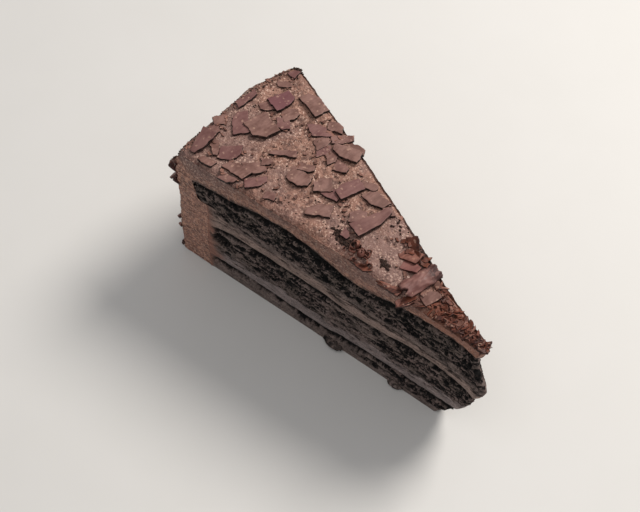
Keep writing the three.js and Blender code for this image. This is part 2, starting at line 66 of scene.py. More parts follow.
LOWER_LINE = [(0, 13.5), (10, 12.2), (30, 11), (52, 10.6), (64, 8.2), (90, 9.2), (115, 8.6)]
LOWER_TOP = [(0, 19.5), (18, 18.2), (45, 18), (65, 15.2), (90, 16.8), (115, 15.6)]
UPPER_LINE = [(0, 29.2), (6, 31.4), (24, 33.4), (46, 30.6), (66, 32), (104, 31.8), (115, 28.8)]
UPPER_TOP = [(0, 35.4), (10, 36.6), (30, 38.5), (48, 37), (70, 38.4), (103, 38.1), (110, 41.9),
             (120, 42.4)]
FROSTING_FRONT = [(0, 55.4), (13, 57), (27, 56.4), (50, 52.1), (65, 56.4), (75, 58.8), (88, 57.6),
                  (104, 54.8), (121, 52.2)]
FROSTING_BACK = [(0, 55.4), (25, 56.6), (45, 54.6), (70, 56.8), (95, 54.4), (121, 52.6)]
TIP_PROFILE = [(0, 12), (4, 10.2), (8, 7.2), (12, 4.4), (17, 2.4), (26, -0.2), (37, -3), (43, -0.6),
               (48, 1.6), (58, 3.2)]
RIND_FOOT, RIND_FRONT, RIND_BACK, BACK_INSET = 0.5, -1.2, 1.6, 0.6
RIND_RISE, RIND_REACH, INSET_REACH = (14, 40), (100, 121), (85, 110)
FEET = [(57, 2.8), (30, 2)]  # lumps of crumb at the foot of the front cut: distance and radius

SHAVING_THICKNESS, FLAKE_THICKNESS = 1.2, 1.1
CURL = dict(length=12.5, radius=3.8, sweep=115, thickness=1.4)
CURL_PLACE, CURL_LIFT, CURL_YAW = (32, 1), 1, 84
# Small flakes on the top: place of the middle, length, width and turn from X (degrees).
TOP_FLAKES = [
    (-42.5, 6.5, 5.5, 4.5, -40), (-44, 11, 6, 5, 60), (-51.5, 7.5, 6, 4, 60), (-55.5, 18, 5, 3, 30),
    (-57, 23.5, 3.5, 3, 20), (-58, -8.5, 5, 4, 60), (-56, -13.5, 5, 3.5, 80),
    (-50.5, -17, 8, 3, -30), (-45, -15, 7.5, 6, 45), (-47.5, -23, 6, 3, 20), (-37.5, -22, 6, 3, 15),
    (-34.5, -12.5, 7, 5, 60), (-30, -16, 8, 4, 60), (-34, -8, 4, 3, 45), (-33, -1.5, 9.5, 2.5, 43),
    (-30, 19, 5.5, 4, 30), (-32.5, 14, 7, 5.5, 50), (-28, 11.5, 6, 4.5, 75),
    (-24.5, 17.5, 8, 3.5, 50), (-19.5, 18.5, 7.5, 4, 30), (-25, 9.5, 5, 4, 60),
    (-21.5, 10, 6, 4, -30), (-16, 9.5, 5, 4, 20), (-23.5, 0.5, 6, 3.5, 30), (-10, 0, 6.5, 4, 10),
    (-4, 11.5, 6, 3, 25), (2, 0.5, 6, 4.5, 60), (7.5, 9.5, 4, 3, -20), (4.5, -7, 3, 3, 0),
    (-8, -7.5, 9, 5, 45), (-22.5, -16, 4, 3, 30), (23, 4, 8, 5, 20), (26.5, 1.5, 6, 3.5, 30),
    (27, -8, 8, 3, 12), (34, -6.5, 8.5, 3.2, 78), (45.5, 2.8, 14, 2, -8), (-52.5, -4.2, 10, 6, -35),
]
FLAKE_TILT = (-4, -4.5)
CORNER_BREAK = 0.35  # share of each side that goes with a broken corner
RED_FROM = 20  # flakes past this place along X are reddish
# Flakes at the front corner: share across, height, how far out, lean, length and width.
CORNER_FLAKES = [
    (-0.97, 56, 0.4, 50, 6.6, 3.6), (-0.95, 52.5, 1, -42, 7.4, 4.2), (-1, 49, 0.5, 38, 6, 3.4),
    (-0.92, 54.5, 0.8, 62, 6.4, 3.2), (-0.99, 46.5, 0.2, -30, 4.6, 3), (-1, 22, 0.1, 40, 3.2, 1.8),
    (-1, 15.5, 0.4, 55, 3.8, 1.6), (-0.99, 3.4, 0.2, 15, 3.6, 2.6),
]

# ---- what the solids leave out
SHAVING_TINTS = {3: 0.75, 4: 0.35, 5: 0.3, 10: 0.35, 12: 0.25}  # how mauve a large shaving is
# Reddish chips near the tip: place, length, width, lift, lean and turn.
RED_CHIPS = [(15.5, -10.6, 9, 3.2, 0.25, -14, 8), (26.5, -8.2, 9, 3.4, 0.3, -12, 12),
             (21.4, 7.6, 6, 4.6, 1.3, 40, -14), (25.5, 5.6, 4.5, 2.6, 0.9, 50, -30),
             (33.6, -7, 9, 3.6, 0.9, -14, 78)]
RED_CLUSTER, SMALL_CURLS = (22.5, 6), (12.2, -8.6)  # the middles of two loose groups
# Patches of dark crumbs: middle, spread and number.
DARK_PATCHES = [((5.8, -8.1), 1.8, 110), ((2.4, -8), 1.2, 40), ((20.4, -4.2), 0.9, 50),
                ((23.4, 9.8), 1.6, 60), ((27.4, 7.4), 1.3, 50), ((12, 9.5), 3, 16),
                ((-59.6, 26.6), 1.6, 70)]
RIM_CRUMBS = 260

# ---- small mathematics


def ramp(x, low, high):
    """A smooth step from 0 to 1 as x goes from low to high."""
    t = np.clip((x - low) / (high - low), 0, 1)
    return t * t * (3 - 2 * t)


def lerp(a, b, t):
    return a + (b - a) * t


def curve_through(points):
    """A smooth curve through points, level beyond its ends, as the solids have it."""
    px, py = np.array(points, float).T
    last = len(px) - 1
    before, after = np.clip([np.arange(-1, last), np.arange(1, last + 2)], 0, last)
    slope = (py[after] - py[before]) / (px[after] - px[before])

    def curve(x, across=None):  # the same on both cuts
        x = np.clip(x, px[0], px[-1])
        i = np.clip(np.searchsorted(px, x, side="right") - 1, 0, last - 1)
        width = px[i + 1] - px[i]
        t = (x - px[i]) / width
        rest = 1 - t
        return (py[i] * (1 + 2 * t) * rest**2 + py[i + 1] * t**2 * (3 - 2 * t)
                + width * t * rest * (slope[i] * rest - slope[i + 1] * t))

    return curve


def hashed(i, j, k, seed):
    """A random number from 0 to 1 for each lattice point."""
    h = (i.astype(np.int64) * 374761393 + j.astype(np.int64) * 668265263
         + k.astype(np.int64) * 1440662683 + int(seed) * 1013904223) & 0xFFFFFFFF
    h = ((h ^ (h >> 13)) * 1274126177) & 0xFFFFFFFF
    h = ((h ^ (h >> 16)) * 2246822519) & 0xFFFFFFFF
    return ((h ^ (h >> 15)) & 0xFFFFFF) / float(0xFFFFFF)


def value_noise(points, size, seed):
    """Smooth noise from -1 to 1 with features of this size (one, or one for each axis)."""
    p = points / np.asarray(size, float)
    cell = np.floor(p).astype(np.int64)
    t = p - cell
    t = t * t * t * (t * (t * 6 - 15) + 10)
    i, j, k = cell.T
    x, y, z = zip(1 - t.T, t.T)  # the weights of the lower and the upper corner along each axis
    total = 0
    for dz, dy, dx in np.ndindex(2, 2, 2):
        total += x[dx] * y[dy] * z[dz] * hashed(i + dx, j + dy, k + dz, seed)
    return total * 2 - 1


def fractal(points, size, seed, octaves=3, fall=0.55):
    """Noise with finer octaves, each fall times as strong as the one before."""
    total, weight, norm = 0, 1, 0
    for octave in range(octaves):
        finer = np.asarray(size, float) / 2**octave
        total += weight * value_noise(points, finer, seed + 17 * octave)
        norm += weight
        weight *= fall
    return total / norm


def cells(points, size, seed):
    """Distance to the nearest scattered point, the gap to the second, and the nearest's number."""
    p = points / np.asarray(size, float)
    cell = np.floor(p).astype(np.int64)
    first = np.full(len(p), 9.0)
    second = np.full(len(p), 9.0)
    number = np.zeros(len(p))
    for step in np.ndindex(3, 3, 3):
        corner = (cell + step - 1).T
        distance = np.sqrt(sum((corner[axis] + hashed(*corner, seed + axis) - p[:, axis])**2
                               for axis in range(3)))
        nearer = distance < first
        second = np.where(nearer, first, np.minimum(second, distance))
        number = np.where(nearer, hashed(*corner, seed + 3), number)
        first = np.where(nearer, distance, first)
    return first, second - first, number


def random_from(seed):
    """The solids' own random numbers, so that flakes fall in the same places."""
    state = seed

    def draw(low, high):
        nonlocal state
        state = (state + 0x6D2B79F5) & 0xFFFFFFFF
        t = ((state ^ (state >> 15)) * (state | 1)) & 0xFFFFFFFF
        t ^= (t + (((t ^ (t >> 7)) * (t | 61)) & 0xFFFFFFFF)) & 0xFFFFFFFF
        return lerp(low, high, (t ^ (t >> 14)) / 4294967296)

    return draw


# ---- the form of the slice
lower_line, lower_top, upper_line, upper_top = map(
    curve_through, (LOWER_LINE, LOWER_TOP, UPPER_LINE, UPPER_TOP))
frosting_front, frosting_back, crumb_tip = map(
    curve_through, (FROSTING_FRONT, FROSTING_BACK, TIP_PROFILE))


def rind_shift(v, z):
    """How far the outer side stands proud of a true arc."""
    upper = lerp(RIND_FRONT, RIND_BACK, np.clip(0.5 + 1.5 * v, 0, 1))
    return lerp(RIND_FOOT, upper, ramp(z, *RIND_RISE))


def slice_point(r, v, z):
    """The point at distance r from the tip, v from -1 (front cut) to 1 (back cut) and height z."""
    r, v, z = np.broadcast_arrays(np.asarray(r, float), v, z)
    angle = v * HALF_ANGLE
    reach = r + rind_shift(v, z) * ramp(r, *RIND_REACH)
    y = np.hypot(reach, BLUNTING) * np.sin(angle)
    inset = BACK_INSET * np.maximum(v, 0) * ramp(r, *INSET_REACH)
    return np.stack([TIP_X - reach * np.cos(angle), y - inset, z], -1)


def cut_normal(v):
    angle = v * HALF_ANGLE
    return np.stack([np.sin(angle), np.cos(angle), 0 * angle], -1) * np.sign(v)[..., None]


def outward(v):
    """The level direction away from the tip."""
    angle = v * HALF_ANGLE
    return np.stack([-np.cos(angle), np.sin(angle), 0 * angle], -1)


def top_height(r):
    return lerp(TOP_AT_TIP, TOP_AT_RIND, ramp(r, *TOP_SLOPE))


def frosting_line(r, v):
    return lerp(frosting_front(r), frosting_back(r), (v + 1) / 2)


def coat_inside(z):
    rise = np.clip((z - LEDGE) / (COAT_TOP_LINE - LEDGE), 0, 1)
    return np.where(z < LEDGE, CORE, CAKE_RADIUS - lerp(COAT_LEDGE_THICK, COAT_TOP, rise))


def column(u, v, start, end):
    """Distance from the tip at share u of the way out, between the two ends of a layer."""
    near_end = np.clip((u - LAST_COLUMN) / (1 - LAST_COLUMN), 0, 1)
    return CORE * u + (start + TIP_ROUNDING * v * v) * (1 - u)**4 + (end - CORE) * near_end


def edge_drop(r, v):
    half_width = np.hypot(r, BLUNTING) * math.sin(HALF_ANGLE)
    from_cut = (1 - np.abs(v)) * half_width
    return CUT_EDGE_DROP * (1 - np.clip(from_cut / CUT_EDGE_WIDTH, 0, 1))**2


def across_at(x, y):
    """Distance from the tip and share across of a place."""
    return np.hypot(TIP_X - x, y), np.clip(np.arctan2(y, TIP_X - x) / HALF_ANGLE, -1, 1)


def plain_top(x, y):
    """Height of the frosting's top, without its relief."""
    r, v = across_at(x, y)
    past = np.clip(r - rind_shift(v, TOP_AT_RIND) - (CAKE_RADIUS - SHOULDER), 0, SHOULDER)
    return top_height(r) - SHOULDER + np.sqrt(SHOULDER**2 - past**2)


# ---- meshes


class Shape:
    """Points (mm), faces and per-point numbers that become one Blender mesh."""

    def __init__(self):
        self.points, self.faces, self.values, self.count = [], [], [], 0

    def add(self, points, faces, **values):
        self.points.append(np.asarray(points, float))
        self.faces += [np.asarray(block) + self.count for block in faces]
        self.values.append({key: np.broadcast_to(value, len(points))
                            for key, value in values.items()})
        self.count += len(points)
        return self

    def build(self, name, material, slot, replaces=()):
        """Makes the piece, with its numbers as attributes, hangs it under the root and hides the
        solids it replaces.
        """
        points = np.concatenate(self.points) * MM
        mesh = bpy.data.meshes.new(name)
        loops = np.concatenate([block.reshape(-1) for block in self.faces]).astype(np.int32)
        sides = np.concatenate([np.full(len(block), block.shape[1]) for block in self.faces])
        starts = np.concatenate([[0], np.cumsum(sides)[:-1]]).astype(np.int32)
        mesh.vertices.add(len(points))
        mesh.vertices.foreach_set("co", points.astype(np.float32).reshape(-1))
        mesh.loops.add(len(loops))
        mesh.loops.foreach_set("vertex_index", loops)
        mesh.polygons.add(len(starts))
        mesh.polygons.foreach_set("loop_start", starts)
        mesh.polygons.foreach_set("use_smooth", np.ones(len(starts), bool))
        mesh.update(calc_edges=True)
        mesh.validate()
        for key in self.values[0]:
            numbers = np.concatenate([values[key] for values in self.values]).astype(np.float32)
            mesh.attributes.new(key, "FLOAT", "POINT").data.foreach_set("value", numbers)
        mesh.materials.append(material)
        piece = bpy.data.objects.new(name, mesh)
        bpy.context.scene.collection.objects.link(piece)
        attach(piece, "root")
        if replaces:
            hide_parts(*replaces)


def quads(ids):
    """The faces of a grid of point numbers."""
    return np.stack([ids[:-1, :-1], ids[1:, :-1], ids[1:, 1:], ids[:-1, 1:]], -1).reshape(-1, 4)


def box_surface(us, vs, ws, under=True):
    """The outer points of a lattice (tip to rind, across, up) and its outward faces."""
    used = np.zeros((len(us), len(vs), len(ws)), bool)
    used[[0, -1]] = used[:, [0, -1]] = used[:, :, -1] = True
    used[:, :, 0] |= under
    ids = np.full(used.shape, -1)
    ids[used] = np.arange(used.sum())
    sheets = [ids[0].T, ids[-1], ids[:, 0].T, ids[:, -1], ids[:, :, 0], ids[:, :, -1].T]
    if not under:
        del sheets[4]
    i, j, k = np.nonzero(used)
    return us[i], vs[j], ws[k], [quads(sheet) for sheet in sheets]


def spaced(low, high, step):
    return np.linspace(low, high, max(2, int(round(abs(high - low) / step)) + 1))


# ---- materials


def linear(colour):
    """sRGB 0-255 to the linear colour that shaders take."""
    c = np.array(colour) / 255
    return (*np.where(c <= 0.04045, c / 12.92, ((c + 0.055) / 1.055)**2.4), 1)


class Nodes:
    """A short way to write a node material, with sizes in mm and colours in sRGB 0-255."""

    def __init__(self, name, roughness, specular):
        self.material = bpy.data.materials.new(name)
        self.material.use_nodes = True
        self.tree = self.material.node_tree
        self.shader = self.tree.nodes["Principled BSDF"]
        self.shader.inputs["Roughness"].default_value = roughness
        self.shader.inputs["Specular IOR Level"].default_value = specular
        self.place = self.new("TexCoord").outputs["Object"]

    def new(self, kind, **settings):
        node = self.tree.nodes.new("ShaderNode" + kind)
        for key, value in settings.items():
            setattr(node, key, value)
        return node

    def feed(self, socket, value):
        """Sets a socket to a number or a colour, or links another socket to it."""
        if isinstance(value, tuple):
            socket.default_value = linear(value)
        elif isinstance(value, (int, float)):
            socket.default_value = value
        else:
            self.tree.links.new(value, socket)

    def stretched(self, scale, turn=0):
        """The place of each point, scaled along each axis and turned about Z."""
        node = self.new("Mapping")
        node.inputs["Scale"].default_value = scale
        node.inputs["Rotation"].default_value = (0, 0, turn)
        self.feed(node.inputs["Vector"], self.place)
        return node.outputs["Vector"]

    def texture(self, kind, size, at=None, **inputs):
        node = self.new(kind)
        node.inputs["Scale"].default_value = 1000 / size
        for name, value in inputs.items():
            node.inputs[name].default_value = value
        self.feed(node.inputs["Vector"], at or self.place)
        return node.outputs

    def noise(self, size, detail=4, rough=0.6, at=None):
        return self.texture("TexNoise", size, at, Detail=detail, Roughness=rough)["Fac"]

    def spots(self, size):
        """The distance to the nearest scattered point."""
        return self.texture("TexVoronoi", size)["Distance"]

    def cell(self, size):
        """A random number for each little cell."""
        split = self.new("SeparateColor")
        self.feed(split.inputs[0], self.texture("TexVoronoi", size)["Color"])
        return split.outputs[0]

    def attribute(self, name):
        return self.new("Attribute", attribute_name=name).outputs["Fac"]

    def ranged(self, value, low, high, to_low=0, to_high=1):
        node = self.new("MapRange", interpolation_type="SMOOTHSTEP")
        for socket, given in zip(node.inputs, (value, low, high, to_low, to_high)):
            self.feed(socket, given)
        return node.outputs[0]

    def times(self, a, b, operation="MULTIPLY"):
        node = self.new("Math", operation=operation)
        self.feed(node.inputs[0], a)
        self.feed(node.inputs[1], b)
        return node.outputs[0]

    def weighted(self, a, weight_a, b, weight_b):
        return self.times(self.times(a, weight_a), self.times(b, weight_b), "ADD")

    def mix(self, factor, a, b):
        node = self.new("Mix", data_type="RGBA")
        for index, value in zip((0, 6, 7), (factor, a, b)):  # the sockets of the colour mix
            self.feed(node.inputs[index], value)
        return node.outputs[2]

    def over(self, base, colour, mask, low, high, most=1):
        """base, covered by colour up to most as mask goes from low to high."""
        return self.mix(self.ranged(mask, low, high, 0, most), base, colour)

    def look(self, colour, roughness=None):
        self.feed(self.shader.inputs["Base Color"], colour)
        if roughness:
            self.feed(self.shader.inputs["Roughness"], roughness)

    def bump(self, *layers):
        """Fine relief; each layer is (height socket, depth in mm)."""
        normal = None
        for height, depth in layers:
            node = self.new("Bump")
            node.inputs["Strength"].default_value = 1
            node.inputs["Distance"].default_value = depth * MM
            self.feed(node.inputs["Height"], height)
            if normal is not None:
                self.feed(node.inputs["Normal"], normal)
            normal = node.outputs["Normal"]
        self.feed(self.shader.inputs["Normal"], normal)


COAT = (124, 85, 73), (164, 118, 101)  # frosting drawn along by the knife
CRUMB_DARK, CRUMB_PALE, CRUMB_GREY = (12, 9, 9), (124, 106, 100), (110, 96, 89)


def cut_material(name, cream_dark, cream_pale):
    """A cut face: torn crumb where the point value cream is 0 and smeared cream where it is 1, or
    frosting where warm is 1. The value tone is partly a random tone for each crumb and partly
    painted shade on the lower parts of its relief, and pit paints near-black shade into hollows and
    gaps."""
    n = Nodes(name, 0.8, 0.25)
    drag = n.stretched((1, 1, 2.4))
    grain = n.noise(0.55, 4, 0.7, drag)
    broad = n.noise(6, 3, 0.5, drag)
    cream = n.attribute("cream")
    shade = n.weighted(n.attribute("tone"), 0.62, grain, 0.55)
    hue = n.ranged(n.noise(9, 2, 0.5), 0.4, 0.6)
    crumb = n.mix(n.ranged(shade, 0.34, 0.82), CRUMB_DARK, n.mix(hue, CRUMB_PALE, CRUMB_GREY))
    # painted glints: pale specks on random little cells
    crumb = n.over(crumb, (146, 128, 122), n.cell(0.6), 0.84, 0.96, 0.55)
    streak = n.noise(1.5, 5, 0.65, n.stretched((0.3, 0.3, 2.4)))
    wipe = n.weighted(streak, 0.6, broad, 0.4)
    smear = n.mix(n.ranged(wipe, 0.36, 0.64), cream_dark, cream_pale)
    smear = n.over(smear, CRUMB_DARK, grain, 0.54, 0.36, 0.62)
    # painted glints on the smeared cream
    smear = n.over(smear, (186, 160, 150), n.cell(0.55), 0.8, 0.96, 0.3)
    smear = n.mix(n.attribute("warm"), smear, n.mix(n.ranged(wipe, 0.36, 0.66), *COAT))
    # painted shade: near-black where pit is 1
    n.look(n.over(n.mix(cream, crumb, smear), (7, 6, 6), n.attribute("pit"), 0, 1, 0.97),
           n.ranged(cream, 0, 1, 0.9, 0.6))
    n.bump((grain, 0.3), (n.noise(0.28, 3, 0.6), 0.08))
    return n.material


def frosting_material():
    """Frosting: spread where the point value side is 0, drawn along by the knife where it is 1,
    redder where tip is 1, and dark where pit is 1, which is painted shade along its lower edge on
    the cuts and dark flecks on its shoulder."""
    n = Nodes("chocolate_frosting", 0.55, 0.4)
    grain, broad, granule = n.noise(0.6, 4, 0.65), n.noise(8), n.cell(0.55)
    base = n.mix(n.ranged(broad, 0.36, 0.64), (120, 83, 70), (144, 103, 88))
    base = n.over(base, (164, 124, 106), grain, 0.4, 0.66, 0.55)  # pale grains
    base = n.over(base, (70, 44, 37), n.cell(1.3), 0.36, 0.08, 0.6)  # dull lumps
    base = n.over(base, (84, 56, 47), n.noise(5, 4, 0.7), 0.47, 0.36, 0.6)  # dark mottling
    base = n.over(base, (124, 94, 86), n.noise(26, 2, 0.5), 0.44, 0.58, 0.8)  # greyer areas
    # painted glints: pale granules in some areas, where the roughness also drops
    zone = n.ranged(n.noise(14, 3, 0.5), 0.38, 0.62, 0.25, 0.65)
    base = n.mix(n.times(n.ranged(granule, 0.74, 0.9), zone), base, (200, 164, 146))
    base = n.over(base, (66, 40, 33), granule, 0.16, 0.05, 0.6)
    drag = n.noise(1.4, at=n.stretched((0.3, 0.3, 2)))
    smear = n.mix(n.ranged(n.weighted(drag, 0.45, grain, 0.55), 0.38, 0.6), *COAT)
    smear = n.over(smear, (82, 56, 44), n.noise(3.4, 4, 0.7), 0.49, 0.57, 0.6)
    smear = n.over(smear, (206, 155, 130), n.noise(1.2, 4, 0.7), 0.49, 0.56, 0.72)
    smear = n.over(smear, (62, 40, 33), granule, 0.2, 0.06, 0.5)
    mixed = n.mix(n.attribute("side"), base, smear)
    ruddy = n.mix(drag, (116, 66, 48), (180, 118, 90))
    mixed = n.mix(n.times(n.attribute("tip"), 0.5), mixed, ruddy)
    # painted shade and dark flecks
    n.look(n.over(mixed, (30, 19, 16), n.attribute("pit"), 0, 1, 0.9),
           n.ranged(granule, 0.6, 0.95, 0.62, 0.3))
    n.bump((broad, 0.3), (grain, 0.28), (n.spots(0.62), 0.16), (n.noise(0.25, 2, 0.5), 0.05))
    return n.material


def shaving_material(name, dark, pale, streak_size, rim):
    """A shaving: the colour rim is painted shade on its broken edges and underside, where the point
    value rim is 1, and it is mauve where tint is 1."""
    n = Nodes(name, 0.5, 0.35)
    drag = n.stretched((1, 0.22, 1), math.radians(35))
    streaks = n.noise(streak_size, 4, 0.55, drag)
    broad = n.noise(6)
    base = n.mix(n.ranged(n.weighted(streaks, 0.35, broad, 0.65), 0.38, 0.62), dark, pale)
    base = n.mix(n.attribute("tint"), base, (104, 60, 66))
    # painted glints: pale specks on random little cells
    base = n.over(base, (176, 140, 122), n.cell(0.7), 0.93, 0.99, 0.5)
    # painted shade on the edges and underside, patchy so that it is no even outline
    fray_and_shade = n.times(n.attribute("rim"), n.ranged(n.noise(1.5, 3, 0.6), 0.36, 0.56, 0.35, 1))
    n.look(n.over(base, rim, fray_and_shade, 0, 0.8, 0.97), n.ranged(streaks, 0.3, 0.7, 0.52, 0.7))
    n.bump((streaks, 0.06), (broad, 0.15), (n.noise(0.35, 3, 0.5), 0.05))
    return n.material


def bit_material():
    n = Nodes("dark_crumbs", 0.9, 0.25)
    grain = n.noise(0.5, 4, 0.65)
    n.look(n.mix(n.ranged(grain, 0.35, 0.7), (28, 20, 17), (74, 52, 44)))
    n.bump((grain, 0.15))
    return n.material


crumb_look = cut_material("chocolate_crumb", (112, 97, 91), (148, 129, 121))
upper_look = cut_material("chocolate_cream_upper", (128, 108, 99), (171, 146, 135))
lower_look = cut_material("chocolate_cream_lower", (120, 107, 104), (164, 147, 143))
frosting_look = frosting_material()
# the last colour of each row is the painted shade of the edges and underside
shaving_look, sliver_look, flake_look, red_look, curl_look = [shaving_material(*row) for row in (
    ("chocolate_shaving", (98, 66, 58), (128, 94, 85), 0.9, (15, 8, 7)),
    ("chocolate_sliver", (54, 22, 15), (108, 57, 39), 0.6, (40, 18, 13)),
    ("chocolate_flake", (88, 56, 47), (136, 94, 80), 0.7, (56, 34, 28)),
    ("chocolate_red_flake", (92, 50, 40), (132, 86, 72), 0.7, (56, 28, 21)),
    ("chocolate_curl", (104, 68, 60), (138, 100, 90), 0.9, (58, 32, 30)))]
bit_look = bit_material()

# ---- cake layers and fillings
STEP, STEP_ACROSS, STEP_UP = 0.28, 0.2, 0.24  # between points: mm along a cut, share across, mm up
UNDERCUT = 1  # depth of the open gap below a filling
BACK_TEAR = 0.55  # how much further in the crumb of the back cut lies
SMUDGE = CORE - 8.5, CORE - 1.5  # where frosting of the side coat is drawn over the cut
SMUDGE_SHIFT, FOOT_SHIFT, FOOT_HEIGHT = 1.5, 2.5, 9
HOLLOW_PLACE, HOLLOW_HALF_SIZE = (108.4, 23.4), (5.6, 3.8)  # distance from the tip and height
HOLLOW_DEPTH = 2.2
FOOT_ROWS, FOOT_COLUMNS = 17, 33


def torn_relief(points, seed):
    """Relief of torn crumb in mm, its painted shade in pits and crevices, and its tone (both 0 to
    1).
    """
    warp = np.stack([value_noise(points, 2.8, seed + 40 + k)
                     + 0.5 * value_noise(points, 1.1, seed + 50 + k) for k in range(3)], -1)
    moved = points + warp * (0.8, 0.8, 0.4)
    slow = 0.5 * fractal(points, (8, 8, 4.5), seed, 2)
    rough = fractal(moved, (2.2, 2.2, 0.9), seed + 2, 4, 0.75)
    lumps, gap, shade = cells(moved, (1.5, 1.5, 0.8), seed + 5)
    crumbs = 0.2 - 0.4 * lumps + 0.8 * rough

    def hole(at):
        return ramp(fractal(at, (2.8, 2.8, 0.9), seed + 9, 4, 0.75), 0.1, 0.22)

    # painted shade: dark in the holes and a little below them, half dark in the crevices between
    # crumbs
    deep = hole(moved)
    dark = np.maximum(deep, hole(moved + (0, 0, 0.7)))
    pit = np.clip(dark + 0.5 * ramp(0.1 - gap, 0, 0.1), 0, 1)
    # tone: a random tone for each crumb, lighter where the relief stands higher, so the lower parts
    # carry painted shade
    tone = np.clip(0.41 + 0.6 * (shade - 0.5) + 1.8 * rough, 0, 1)
    return slow + crumbs - 0.8 * deep, pit, tone


def smear_relief(points):
    """Relief of frosting drawn along by the knife, in mm."""
    return (0.25 + 0.3 * fractal(points, (8, 8, 2.5), 6, 3)
            + 0.1 * value_noise(points, (1.4, 1.4, 0.7), 8))


def push_out(points, v, relief, on_cut, on_tip):
    """Moves the points of both cuts and of the tip outwards by their relief."""
    points[on_cut] += cut_normal(v[on_cut]) * relief[on_cut, None]
    points[on_tip] -= outward(v[on_tip]) * relief[on_tip, None]


def layer_shape(low, high, seed, smeared=None, crack=lambda r: 1, wiped_foot=0.72, hollow=False):
    """One cake layer, or a filling where smeared is None, between its lower and its upper line.
    smeared(r) adds cream wiped over the crumb, and crack(r) widens the gap below the filling and
    the painted shade along it."""
    distances = np.linspace(0, CORE, 20)
    height = float(np.mean(high(distances, -1) - low(distances, -1)))
    u, v, w, faces = box_surface(spaced(0, 1, STEP / CORE), spaced(-1, 1, STEP_ACROSS),
                                 spaced(0, 1, STEP_UP / height))
    r = CORE * u
    z = lerp(low(r, v), high(r, v), w)
    for _ in range(3):  # the two ends depend on the height, and the lines on the distance
        r = column(u, v, crumb_tip(z), coat_inside(z))
        z = lerp(low(r, v), high(r, v), w)
    points = slice_point(r, v, z)
    below, above = high(r, v) - z, z - low(r, v)
    noisy = fractal(points, (2.4, 2.4, 3.2), seed + 60, 3, 0.65)
    deep = 0 * r
    if smeared:
        relief, pit, tone = torn_relief(points, seed)
        slow = fractal(points, (14, 14, 40), seed + 61, 2)
        opening = crack(r) * np.clip(1.2 + 2 * noisy + 1.4 * slow, 0.05, 2.6)
        gape = np.clip(opening / 0.8, 0.1, 1)
        shut = ramp(below, gape * (1.3 + 1.1 * opening), gape * (1.9 + 1.5 * opening))
        # painted shade: a near-black band under the filling above, reaching below the open gap
        dark = ramp(below, gape * (1.1 + 1.1 * opening), gape * (1.7 + 1.4 * opening))
        relief = relief * ramp(np.minimum(below, above), 0, 0.5) - UNDERCUT * (1 - shut)
        smear = fractal(points, (10, 10, 1.5), seed + 70, 4)
        foot = wiped_foot * (1 - ramp(above, 0.4, 4.5))
        cream = ramp(smear + foot + smeared(r), 0.22, 0.72) * 0.85 * shut
        relief = lerp(relief, relief * 0.35 + 0.12, cream * shut)
        pit = np.maximum(pit * (1 - 0.8 * cream), 0.97 * (1 - dark))
    else:
        relief = (0.15 * (1 - (2 * w - 1)**2) * (w < 0.8)
                  + 0.3 * fractal(points, (7, 7, 2), seed, 3)
                  + 0.12 * value_noise(points, (1.6, 1.6, 0.8), seed + 3))
        crumbs, holes, tone = torn_relief(points, seed + 30)
        stuck = fractal(points, (5, 5, 1.4), seed + 31, 4) + 0.95 * w**1.2
        stuck = ramp(stuck, 0.38, 0.85)  # crumb that sticks to the upper part
        relief = relief * (1 - 0.6 * w) + 0.6 * stuck * crumbs
        cream = 1 - 0.85 * stuck
        # painted shade: a dark line along the foot of the filling, and in the holes of crumb stuck
        # to it
        line = 1 - ramp(above + 0.5 * noisy, 0, 0.5)
        pit = np.clip(0.6 * stuck * holes + 0.8 * line, 0, 1)
    if hollow:
        off = [(at - middle) / half
               for at, middle, half in zip((r, z), HOLLOW_PLACE, HOLLOW_HALF_SIZE)]
        deep = (1 - ramp(np.hypot(*off) + 0.6 * noisy, 0.6, 1)) * (v < 0)
        cream, relief = cream * (1 - deep), relief - HOLLOW_DEPTH * deep
        # painted shade in the hollow
        pit = np.clip(pit + deep * (0.85 + 0.8 * noisy), 0, 1)
    drift = 5 * fractal(points, (9, 9, 6), 90, 3) + noisy
    smudge = ramp(r + drift - SMUDGE_SHIFT - FOOT_SHIFT * (z < FOOT_HEIGHT), *SMUDGE)
    seam = np.maximum(smudge * (1 - deep), ramp(r, CORE - 1.8, CORE - 0.3)) * (z < LEDGE)
    relief = lerp(relief, smear_relief(points), seam)
    if smeared:
        relief -= BACK_TEAR * (v > 0) * (1 - seam)
    push_out(points, v, relief, np.abs(v) == 1, u == 0)
    points[:, 2] = np.maximum(points[:, 2], 0)
    return Shape().add(points, faces, cream=np.maximum(cream, seam), pit=pit * (1 - seam),
                       tone=tone, warm=seam)


def add_foot(shape, r, radius, seed):
    """A squashed lump of crumb at the bottom of the front cut."""
    turns, rises = np.meshgrid(np.linspace(0, 2 * math.pi, FOOT_COLUMNS),
                               np.linspace(0, math.pi, FOOT_ROWS))
    ball = np.stack([np.cos(turns) * np.sin(rises), np.sin(turns) * np.sin(rises),
                     np.cos(rises)], -1).reshape(-1, 3)
    grown = 0.92 + 0.34 * fractal(ball * radius, 1.5, seed, 4, 0.7)
    x, y, z = (ball * grown[:, None] * radius * (1.7, 1, 0.62)).T
    c, s = math.cos(HALF_ANGLE), math.sin(HALF_ANGLE)
    lump = np.stack([x * c - y * s, x * s + y * c, z], -1) + slice_point(r, -1, radius * 0.72)
    lump[:, 2] = np.maximum(lump[:, 2], 0)
    tone = np.clip(0.3 + fractal(lump, 0.9, seed + 1, 2), 0, 1)
    # dark patches on the lump
    pit = 0.9 * ramp(fractal(lump, (3, 3, 0.8), seed + 2, 3), 0.05, 0.4)
    ids = np.arange(len(lump)).reshape(FOOT_ROWS, FOOT_COLUMNS)
    shape.add(lump, [quads(ids)], cream=0.25, pit=pit, tone=tone, warm=0)


